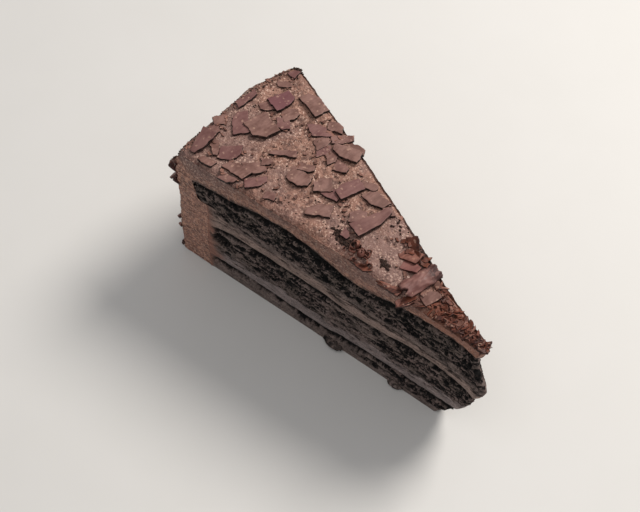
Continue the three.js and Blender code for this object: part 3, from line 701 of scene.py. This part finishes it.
bottom = layer_shape(lambda r, v: 0 * r, lower_line, 11,
                     lambda r: 0.12 + 0.75 * ramp(r, 28, 55), lambda r: 1.3)
for index, (r, radius) in enumerate(FEET):
    add_foot(bottom, r, radius, 80 + index)
bottom.build("crumb_bottom", crumb_look, "crumb", ["cake_bottom"])
layer_shape(lower_line, lower_top, 3).build(
    "cream_lower", lower_look, "filling", ["filling_lower"])
layer_shape(lower_top, upper_line, 23,
            lambda r: 0.22 * ramp(r, 28, 40) + 0.2 * ramp(r, 92, 99),
            lambda r: 1 - 0.8 * ramp(r, 30, 38) * (1 - ramp(r, 54, 64)),
            wiped_foot=0.2, hollow=True).build(
    "crumb_middle", crumb_look, "crumb", ["cake_middle"])
layer_shape(upper_line, upper_top, 9).build(
    "cream_upper", upper_look, "filling", ["filling_upper"])
layer_shape(upper_top, frosting_line, 37,
            lambda r: 0.02 - 0.4 * ramp(r, 102, 108),
            lambda r: 1 + 0.7 * ramp(r, 25, 45) * (1 - ramp(r, 70, 85))).build(
    "crumb_top", crumb_look, "crumb", ["cake_top"])

# ---- frosting
ALONG, DOWN, DOWN_TO_LEDGE = 34, 17, 4  # the solid's rows along the top and down the outer side
LEDGE_ROW, LAST_ROW = ALONG + DOWN_TO_LEDGE + 1, ALONG + DOWN
ROW_STEP, STEPS_ACROSS, STEPS_THROUGH = 0.1, 140, 18


def skin(row, v):
    """Outer skin of the frosting: distance from the tip, height, and how far it has turned down."""
    flat, arc = CAKE_RADIUS - SHOULDER, SHOULDER * math.pi / 4
    wall_top, wall_start = TOP_AT_RIND - SHOULDER, flat + 2 * arc
    s = np.interp(row, [0, ALONG, LEDGE_ROW, LAST_ROW],
                  [0, flat + arc, wall_start + wall_top - LEDGE, wall_start + wall_top - COAT_FOOT])
    turn = np.clip((s - flat) / SHOULDER, 0, math.pi / 2)
    start = FROSTING_START - FROSTING_OVERHANG + TIP_ROUNDING * v * v
    r = np.where(s <= flat, lerp(start, flat, s / flat), flat + SHOULDER * np.sin(turn))
    z = np.where(s <= flat, top_height(r), wall_top + SHOULDER * np.cos(turn))
    return r, np.where(s > wall_start, wall_top - (s - wall_start), z), turn


def lining(row, v):
    """Inner face of the frosting, against the cake."""
    corner = CAKE_RADIUS - COAT_TOP
    r_top = column(np.clip(row / ALONG, 0, 1), v, FROSTING_START, corner)
    z_top = frosting_line(r_top, v)
    ledge = np.clip((row - ALONG) / (LEDGE_ROW - 1 - ALONG), 0, 1)
    z_side = lerp(frosting_line(corner, v), LEDGE, ledge)
    past = np.clip(row - (LEDGE_ROW - 1), 0, 1)
    r_side = lerp(coat_inside(np.maximum(z_side, LEDGE)), CORE, past)
    z_low = lerp(LEDGE, COAT_FOOT, (row - LEDGE_ROW) / (LAST_ROW - LEDGE_ROW))
    r = np.where(row <= ALONG, r_top, np.where(row < LEDGE_ROW, r_side, CORE))
    z = np.where(row <= ALONG, z_top, np.where(row < LEDGE_ROW, z_side, z_low))
    return r, z


def top_relief(points):
    """Relief of the spread frosting, in mm."""
    slow = 0.42 * fractal(points, 10, 1, 2)
    ridges = 0.36 * fractal(points, 4, 2, 3)
    lump, _, number = cells(points, 1.7, 3)
    lumps = 0.28 * (0.45 - lump) * (number > 0.3)
    near, _, chance = cells(points, 4.2, 7)
    pits = -0.6 * (chance < 0.4) * (1 - ramp(near, 0.05, 0.24))
    grain = 0.09 * value_noise(points, 0.9, 5)
    return slow + ridges + lumps + pits + grain


def top_surface(x, y):
    """Height of the frosting's top at a place."""
    z = plain_top(x, y)
    return z + top_relief(np.stack([x, y, z], -1)) - edge_drop(*across_at(x, y))


def frosting_shape():
    row, side, w, faces = box_surface(
        spaced(0, LAST_ROW, ROW_STEP), spaced(-1, 1, 2 / STEPS_ACROSS),
        spaced(0, 1, 1 / STEPS_THROUGH), under=False)
    v = 0.6 * side + 0.4 * np.sin(side * math.pi / 2)  # closer together near the cuts
    outer_r, outer_z, turn = skin(row, v)
    inner_r, inner_z = lining(row, v)
    points = slice_point(lerp(inner_r, outer_r, w), v, lerp(inner_z, outer_z, w))
    on_skin, on_cut, on_tip = w == 1, np.abs(side) == 1, row == 0
    drop = edge_drop(outer_r, v) * ramp(outer_z, TOP_AT_RIND - 2 * SHOULDER, TOP_AT_TIP)
    relief = np.zeros(len(points))
    relief[on_skin] = top_relief(points[on_skin]) - drop[on_skin]
    points += outward(v) * (relief * np.sin(turn))[:, None]
    points[:, 2] += relief * np.cos(turn)
    smear = smear_relief(points) + 0.16 * fractal(points, 1.1, 16, 2) * (row < ALONG)
    push_out(points, v, smear, on_cut, on_tip)
    points[:, 2] = np.maximum(points[:, 2], COAT_FOOT)
    ragged = 0.25 * fractal(points, (3, 3, 1.2), 15, 3)
    on_edge = on_cut | on_tip
    drawn = np.where(on_edge, 0.8 * (1 - ramp(w + 1.6 * ragged, 0.05, 0.6)), 0)
    drawn = np.maximum(drawn, np.where(on_cut & (row > ALONG), 0.9, 0))
    # painted shade: a dark line along the lower edge of the frosting on each cut
    pit = np.where(on_edge & (row < ALONG), 0.8 * (1 - ramp(w + 0.5 * ragged, 0.02, 0.16)), 0)
    # dark flecks on the shoulder of the outer side
    flecks = ramp(fractal(points, 1.3, 61, 2), 0.2, 0.42)
    flecks *= ramp(turn, 0.15, 0.7) * (outer_z > 50)
    pit = np.maximum(pit, np.where(on_skin, 0.6 * flecks, 0))
    return Shape().add(points, faces, side=drawn, pit=pit,
                       tip=1 - ramp(outer_r + 6 * ragged, 16, 36))


frosting_shape().build("frosting_coat", frosting_look, "frosting", ["frosting"])

# ---- shavings, flakes and curls


def placed(points, place):
    matrix = np.array(place)
    return points @ matrix[:3, :3].T + matrix[:3, 3]


def plate(shape, outline, thickness, place, seed, bend=0, tint=0, step=0.35):
    """A broken flat shaving with softened edges and a slight warp."""
    corners = np.asarray(outline, float)
    rim = np.concatenate([
        corner + side * np.linspace(0, 1, max(2, int(np.hypot(*side) / step)) + 1)[:-1, None]
        for corner, side in zip(corners, np.roll(corners, -1, 0) - corners)])
    centre = rim.mean(0)
    reach = rim - centre
    flat = np.c_[rim, np.full(len(rim), seed * 3.1)]
    notches = np.round(2.2 * value_noise(flat, 1.7, seed + 1)) / 2.2
    jag = 0.12 * value_noise(flat, 0.7, seed) + 0.36 * notches
    reach *= (1 + jag / np.maximum(np.hypot(*reach.T), 0.6))[:, None]
    lengths = np.hypot(*reach.T)
    bevel = min(0.14 / lengths.mean(), 0.16)
    half = thickness / 2
    # each ring: share of the way out, height, and rim, which is 1 on the side walls and underside
    # where shade is painted
    rings = [*((share, half, 0) for share in (0, 0.3, 0.55, 0.75, 0.9 - bevel / 2, 1 - bevel)),
             (1 - 0.3 * bevel, half - 0.04, 0.1), (1, half - 0.16, 1), (1, 0.2 - half, 1),
             *((share, -half, 1) for share in (1 - bevel, 0.5, 0))]
    points = np.concatenate([np.c_[centre + reach * share, np.full(len(rim), z)]
                             for share, z, _ in rings])
    along = points[:, 0] * math.cos(seed) + points[:, 1] * math.sin(seed)
    slot = np.full(len(points), float(seed))
    wave = value_noise(np.c_[points[:, :2], slot], 3, seed + 2)
    streaks = value_noise(np.c_[points[:, :2] * (1, 0.3), slot], 0.7, seed + 3)
    points[:, 2] += bend * (along / lengths.max())**2 + 0.1 * wave
    points[:, 2] += 0.035 * streaks
    ids = np.arange(len(points)).reshape(len(rings), len(rim))
    shape.add(placed(points, place), [quads(np.c_[ids, ids[:, 0]])],
              rim=np.repeat([float(edge) for _, _, edge in rings], len(rim)), tint=tint)


def roll(shape, length, radius, sweep, thickness, place, seed, fray=0.25, end_shade=0):
    """A rolled strip along X, frayed at its ends and hollow below; its inside gets the rim's
    painted shade, and end_shade paints shade on one end.
    """
    half = math.radians(sweep / 2)
    turns = np.linspace(-half, half, max(6, int(radius * 2 * half / 0.3)))
    along = np.linspace(-0.5, 0.5, max(4, int(length / 0.4)))
    angle, share = np.meshgrid(turns, along, indexing="ij")

    def noise(x, y, z, size, seed):
        points = np.stack(np.broadcast_arrays(x, y, z), -1).reshape(-1, 3)
        return value_noise(points, size, seed).reshape(angle.shape)

    ragged = fray * noise(angle * radius, 0, seed, 0.9, seed)
    fray_and_shade = np.where(share < 0, 1, 0.35)
    x = share * length + np.sign(share) * (np.abs(share) * 2)**4 * ragged * 2 * fray_and_shade
    wave = 1 + 0.06 * noise(x, angle * radius, 0, 2.2, seed + 1)
    wave += 0.05 * noise(x * 0.6, angle * radius * 2, 0, 0.9, seed + 2)
    # painted shade towards the end where share is high
    dark_end = end_shade * ramp(share, 0.06, 0.36)
    sheets, rims = [], []
    # the inner sheet is all rim: painted shade inside the hollow
    for base, edge in ((radius, 0), (radius - thickness, 1)):
        r = base * wave
        z = r * np.cos(angle) - radius * math.cos(half)
        sheets.append(np.stack([x, r * np.sin(angle), z], -1).reshape(-1, 3))
        rims.append(np.maximum(edge, dark_end).ravel())
    outer, inner = np.arange(2 * x.size).reshape(2, *x.shape)
    strips = [outer.T, inner, np.stack([outer[:, 0], inner[:, 0]]).T,
              np.stack([inner[:, -1], outer[:, -1]]).T, np.stack([outer[0], inner[0]]),
              np.stack([inner[-1], outer[-1]])]
    shape.add(placed(np.concatenate(sheets), place), [quads(ids) for ids in strips],
              rim=np.concatenate(rims), tint=0.25 * end_shade)


def turned(axes, *angles, at):
    """The matrix of turns in degrees about one axis after the other, and a move."""
    total = Matrix.Identity(4)
    for axis, angle in zip(axes, angles):
        total = Matrix.Rotation(math.radians(angle), 4, axis) @ total
    return Matrix.Translation(at) @ total


def cap_of(node):
    """The upper face of a flat shaving's solid: its outline in its own plane, and that plane."""
    mesh = bmesh.new()
    mesh.from_mesh(bpy.data.objects[node].data)
    bmesh.ops.remove_doubles(mesh, verts=mesh.verts, dist=1e-6)
    bmesh.ops.dissolve_limit(mesh, angle_limit=math.radians(2), verts=mesh.verts, edges=mesh.edges)
    cap = max((f for f in mesh.faces if f.normal.z > 0.7), key=lambda f: f.calc_area())
    normal = cap.normal.copy()
    corners = [v.co * 1000 for v in cap.verts]
    mesh.free()
    middle = sum(corners, corners[0] * 0) / len(corners)
    across = normal.cross((0, 1, 0)).normalized() * -1
    up = normal.cross(across)
    place = Matrix((across, up, normal)).transposed().to_4x4()
    place.translation = middle - normal * (SHAVING_THICKNESS / 2)
    return [((c - middle).dot(across), (c - middle).dot(up)) for c in corners], place


def resting_height(x, y):
    """Height of the top at one place, without its relief."""
    return float(plain_top(x, y) - edge_drop(*across_at(x, y)))


def shard(length, width, turn, taper, slant, broken):
    """Outline of a piece of shaving: a strip with one corner missing, turned about its middle."""
    corners = []
    for along, across in ((-1, -1), (1, -1), (1, 1), (-1, 1)):
        y = across * (width / 2) * (1 - taper * along)
        corners.append(np.array([along * (length / 2) + slant * y, y]))
    corner, before, after = corners[broken], corners[broken - 1], corners[(broken + 1) % 4]
    corners[broken:broken + 1] = [lerp(corner, before, CORNER_BREAK),
                                  lerp(corner, after, CORNER_BREAK)]
    c, s = math.cos(math.radians(turn)), math.sin(math.radians(turn))
    return [(c * x - s * y, s * x + c * y) for x, y in corners]


def ragged_outline(length, width, draw):
    """A loose pentagon."""
    outline = []
    for i in range(5):
        angle = (i + draw(-0.3, 0.3)) * 2 * math.pi / 5
        size = draw(0.7, 1.15) / 2
        outline.append((size * length * math.cos(angle), size * width * math.sin(angle)))
    return outline


def splinter(long, wide, near=0.5, far=0.6, late=0.4):
    """A loose quadrilateral, from half its length and half its width."""
    return [(-long, -wide * near), (long * far, -wide), (long, wide * late), (-long * near, wide)]


for number in range(1, 14):
    node = f"shaving_{number:02d}"
    outline, place = cap_of(node)
    shaving = Shape()
    plate(shaving, outline, SHAVING_THICKNESS, place, 49 + number,
          bend=(0.5, 0.35, -0.2)[number % 3], tint=SHAVING_TINTS.get(number, 0))
    shaving.build(f"flat_{node}", shaving_look, "shaving", [node])

curl = Shape()
x, y = CURL_PLACE
z = top_height(math.hypot(TIP_X - x, y)) + CURL_LIFT
roll(curl, **CURL, place=turned("Z", CURL_YAW, at=(x, y, z)), seed=71, fray=0.9, end_shade=0.8)
curl.build("rolled_shaving", curl_look, "shaving", ["shaving_curl"])

flakes, red_flakes = Shape(), Shape()
draw = random_from(21)
for index, (x, y, length, width, turn) in enumerate(TOP_FLAKES):
    taper, slant, broken = draw(-0.25, 0.25), draw(-0.4, 0.4), int(draw(0, 4))
    lean = FLAKE_TILT[0] + draw(-4, 4), FLAKE_TILT[1] + draw(-4, 4)
    z = resting_height(x, y) + draw(-0.1, 0.3) + 0.12
    plate(red_flakes if x > RED_FROM else flakes, shard(length, width, turn, taper, slant, broken),
          FLAKE_THICKNESS, turned("XY", *lean, at=(x, y, z)), 100 + index,
          bend=0.22 * (-1)**index, tint=(0.35, 0, 0.1, 0)[index % 4])
flakes.build("small_flakes", shaving_look, "frosting")
red_flakes.build("red_flakes", red_look, "frosting")

side_flakes, corner_flakes = Shape(), Shape()
draw = random_from(8)
rows = [(lerp(-0.9, 0.96, (i % 4 + draw(0.2, 0.8)) / 4), lerp(5, 60, (i // 4 + draw(0.2, 0.8)) / 3),
         draw(0, 0.4), draw(-18, 18), draw(3.6, 6), draw(2.6, 4.2)) for i in range(12)]
for index, (v, z, out, lean, length, width) in enumerate(rows + CORNER_FLAKES):
    shape, proud, lean_share = ((side_flakes, 0.7, 0.6) if index < len(rows)
                                else (corner_flakes, 0.3, 1))
    outline = ragged_outline(length, width, draw)
    turn, swing = math.degrees(draw(-0.5, 0.5)), draw(-12, 12)
    plate(shape, outline, FLAKE_THICKNESS,
          turned("ZYZ", turn, lean_share * lean - 90, swing - math.degrees(v * HALF_ANGLE),
                 at=slice_point(CAKE_RADIUS + out + proud, v, z)),
          200 + index, bend=0.2, tint=0.2 * (index % 2))
side_flakes.build("side_flakes", red_look, "frosting")
corner_flakes.build("corner_flakes", red_look, "frosting")

slivers, tip_flakes = Shape(), Shape()
draw = random_from(20)
for index in range(20):  # the solids' own slivers
    r = lerp(1.2, 25, index / 19)
    v = (0.6 if index % 2 else -0.55) * draw(0.3, 1)
    long, wide = draw(3.4, 5.4) / 2, draw(1.4, 2.4) / 2
    lean, dip, yaw = draw(-50, 50), draw(-14, 14), math.degrees(draw(0, math.pi))
    centre = slice_point(r, v, top_height(r) + draw(-0.1, 0.6))
    plate(slivers, splinter(long, wide, 0.6, 0.7, 0.5), FLAKE_THICKNESS * 0.8,
          turned("XYZ", lean, dip, yaw, at=centre), 300 + index,
          bend=(-0.9, 0.7, -0.5)[index % 3], step=0.3)
draw = default_rng(14).uniform
for index in range(170):  # finer ones heaped round them, every sixth a mauve flake
    mauve = index % 6 == 0
    r = 26 * draw(0, 1)**1.15 + (7 if mauve else 1.2)
    v = draw(-0.95, 0.95)
    long = draw(1.6, 4.4) / 2 * (0.7 + 0.3 * ramp(r, 2, 8))
    wide = draw(0.7, 2 if mauve else 1.5) / 2
    centre = slice_point(r, v * 0.92, top_height(r) + draw(0, 1.1))
    plate(tip_flakes if mauve else slivers, splinter(long, wide), 0.4,
          turned("XYZ", draw(-50, 50), draw(-14, 14), draw(0, 180), at=centre),
          400 + index, bend=draw(-0.9, 0.9), step=0.45)
tip_flakes.build("tip_flakes", flake_look, "frosting")
slivers.build("tip_slivers", sliver_look, "frosting")

# ---- chips and small curls


def chip(shape, x, y, length, width, seed, lift, lean, yaw, thickness=0.5):
    """A splinter that lies on the top."""
    place = turned("XYZ", lean, lean * 0.4, yaw, at=(x, y, resting_height(x, y) + lift))
    plate(shape, splinter(length / 2, width / 2), thickness, place, seed, bend=0.3, step=0.3)


chips = Shape()
rng = default_rng(23)
draw = rng.uniform
made = 0
while made < 130:  # beside the larger flakes
    x, y, length, *_ = TOP_FLAKES[rng.integers(len(TOP_FLAKES))]
    angle, away = draw(0, 2 * math.pi), draw(0.4, 1.1) * length
    x, y = x + away * math.cos(angle), y + away * math.sin(angle)
    r, v = across_at(x, y)
    if 14 < r < 123 and abs(v) < 0.97:
        chip(chips, x, y, draw(0.9, 2.6), draw(0.6, 1.4), 700 + made, 0.35, draw(-25, 25),
             draw(0, 180))
        made += 1
for index in range(75):  # along the rim of the outer side, thickest at its two ends
    v = np.clip(np.sin(draw(-1.6, 1.6)) * draw(0.75, 1), -0.98, 0.98)
    x, y, _ = slice_point(CAKE_RADIUS - draw(1.6, 5.5), v, 60)
    chip(chips, x, y, draw(0.9, 2.6), draw(0.6, 1.4), 830 + index, 0, draw(-30, 30),
         draw(0, 180))
for index in range(30):  # hanging at the front corner
    centre = slice_point(CAKE_RADIUS + draw(-0.8, 1), draw(-1, -0.93), draw(45, 59))
    long, wide = draw(1.2, 3) / 2, draw(0.8, 1.6) / 2
    plate(chips, [(-long, -wide), *splinter(long, wide)[1:]], 0.5,
          turned("XYZ", draw(-70, 70), draw(-70, 70), draw(0, 180), at=centre), 905 + index,
          bend=0.3, step=0.3)
chips.build("small_chips", flake_look, "frosting")

curls, red_chips = Shape(), Shape()
rng = default_rng(6)
draw = rng.uniform
for index in range(22):  # near the front edge, most standing on end
    x, y = SMALL_CURLS[0] + rng.normal(0, 2.4), SMALL_CURLS[1] + rng.normal(0, 1.4)
    z = float(plain_top(x, y)) + 0.5
    roll(curls, draw(0.8, 1.9), draw(0.6, 1.3), draw(130, 280), 0.3,
         turned("YXZ", draw(35, 100), draw(-25, 25), draw(0, 360), at=(x, y, z)), 940 + index, 0.35)
curls.build("small_curls", red_look, "frosting")
for x, y, length, width, lift, lean, yaw in RED_CHIPS:
    chip(red_chips, x, y, length, width, 960 + int(x), lift, lean, yaw, 0.7)
for index in range(18):
    chip(red_chips, RED_CLUSTER[0] + rng.normal(0, 3), RED_CLUSTER[1] + rng.normal(0, 1.2),
         draw(1.8, 4.2), draw(1.2, 2.6), 980 + index, draw(0.2, 0.7), draw(-28, 28), draw(0, 180),
         0.6)
red_chips.build("red_chips", sliver_look, "frosting")

# ---- crumbs


def split_octahedron():
    """Points and triangles of an octahedron, each side split once and rounded."""
    points = [side * axis for axis in np.eye(3) for side in (1, -1)]
    middles, faces = {}, []

    def middle(a, b):
        key = frozenset((a, b))
        if key not in middles:
            p = points[a] + points[b]
            points.append(p / np.linalg.norm(p))
            middles[key] = len(points) - 1
        return middles[key]

    for a, b, c in ((0, 2, 4), (2, 1, 4), (1, 3, 4), (3, 0, 4),
                    (2, 0, 5), (1, 2, 5), (3, 1, 5), (0, 3, 5)):
        ab, bc, ca = middle(a, b), middle(b, c), middle(c, a)
        faces += [(a, ab, ca), (ab, b, bc), (ca, bc, c), (ab, bc, ca)]
    return np.array(points), np.array(faces)


BALL, BALL_FACES = split_octahedron()


def crumb_lumps(shape, places, sizes, seed):
    """A little lump at each place."""
    rng = default_rng(seed)
    for place, size in zip(places, sizes):
        lump = BALL * rng.uniform(0.65, 1.25, (len(BALL), 1)) * rng.uniform(0.6, 1.2, 3) * size
        shape.add(lump + place, [BALL_FACES])


def scattered(count, nearest, farthest, share, seed):
    """Places on the frosting's top, of which a share is kept."""
    rng = default_rng(seed)
    r = CAKE_RADIUS * np.sqrt(rng.uniform((nearest / CAKE_RADIUS)**2, (farthest / CAKE_RADIUS)**2,
                                          count))
    x, y, _ = slice_point(r, rng.uniform(-0.98, 0.98, count), 0 * r).T
    kept = rng.uniform(0, 1, count) < share
    return np.c_[x[kept], y[kept], top_surface(x[kept], y[kept])]


bits = Shape()
rng = default_rng(4)
places = scattered(420, 8, 121, 0.45, 31)
crumb_lumps(bits, places, rng.uniform(0.12, 0.38, len(places)), 32)
for middle, spread, count in DARK_PATCHES:
    xy = np.array(middle) + rng.normal(0, spread, (count, 2)) * (1, 0.6)
    r, v = across_at(*xy.T)
    xy = xy[(r < CAKE_RADIUS - 0.6) & (np.abs(v) < 0.99)]
    crumb_lumps(bits, np.c_[xy, top_surface(*xy.T) + 0.15], rng.uniform(0.2, 0.65, len(xy)),
                33 + len(xy))
rng = default_rng(37)
x, y, _ = slice_point(CAKE_RADIUS - rng.uniform(0.8, 4, RIM_CRUMBS),
                      np.clip(rng.uniform(-1, 1, RIM_CRUMBS), -0.97, 0.97), 0).T
crumb_lumps(bits, np.c_[x, y, top_surface(x, y)], rng.uniform(0.12, 0.4, RIM_CRUMBS), 38)
bits.build("dark_crumbs", bit_look, "frosting")

# ---- floor, light and camera
FLOOR_SIZE = 6
SKY_COLOUR, SKY_STRENGTH = (0.93, 0.96, 1, 1), 0.34
LIT_PLACE = (0, 0, 0.05)
LIGHTS = [  # place, diameter, power and colour of each round lamp
    ("window", (0.1, 0.62, 0.78), 0.42, 10, (1, 0.97, 0.92)),
    ("overhead", (0.1, -0.3, 1.1), 0.9, 2.6, (1, 0.98, 0.96)),
]
CAMERA_AZIMUTH, CAMERA_ELEVATION, CAMERA_ROLL = 47.9, 58.73, 1.22
CAMERA_PLACE = (0.15419, -0.15308, 0.396)
FOCAL_PIXELS, FRAME_WIDTH, SENSOR_WIDTH = 1211.9, 640, 36

bpy.ops.mesh.primitive_plane_add(size=FLOOR_SIZE, location=(0, 0, 0))
floor = bpy.context.object
floor.name = "floor"
floor_look = Nodes("pale_floor", 0.7, 0.3)
floor_look.look(floor_look.mix(floor_look.noise(60, 3), (206, 203, 199), (212, 209, 206)))
floor.data.materials.append(floor_look.material)

scene = bpy.context.scene
scene.view_settings.view_transform = "Standard"
world = bpy.data.worlds.new("studio")
scene.world = world
world.use_nodes = True
sky = world.node_tree.nodes["Background"]
sky.inputs["Color"].default_value = SKY_COLOUR
sky.inputs["Strength"].default_value = SKY_STRENGTH

for name, place, size, power, colour in LIGHTS:
    data = bpy.data.lights.new(name, "AREA")
    data.shape, data.size, data.energy, data.color = "DISK", size, power, colour
    lamp = bpy.data.objects.new(name, data)
    scene.collection.objects.link(lamp)
    lamp.location = place
    lamp.rotation_euler = Vector(np.subtract(LIT_PLACE, place)).to_track_quat("-Z", "Y").to_euler()

camera = bpy.data.objects.new("camera", bpy.data.cameras.new("camera"))
scene.collection.objects.link(camera)
camera.data.sensor_width = SENSOR_WIDTH
camera.data.lens = FOCAL_PIXELS / FRAME_WIDTH * SENSOR_WIDTH
camera.data.clip_start = 0.01
camera.matrix_world = turned("ZXZ", CAMERA_ROLL, 90 - CAMERA_ELEVATION, CAMERA_AZIMUTH,
                             at=CAMERA_PLACE)
scene.camera = camera
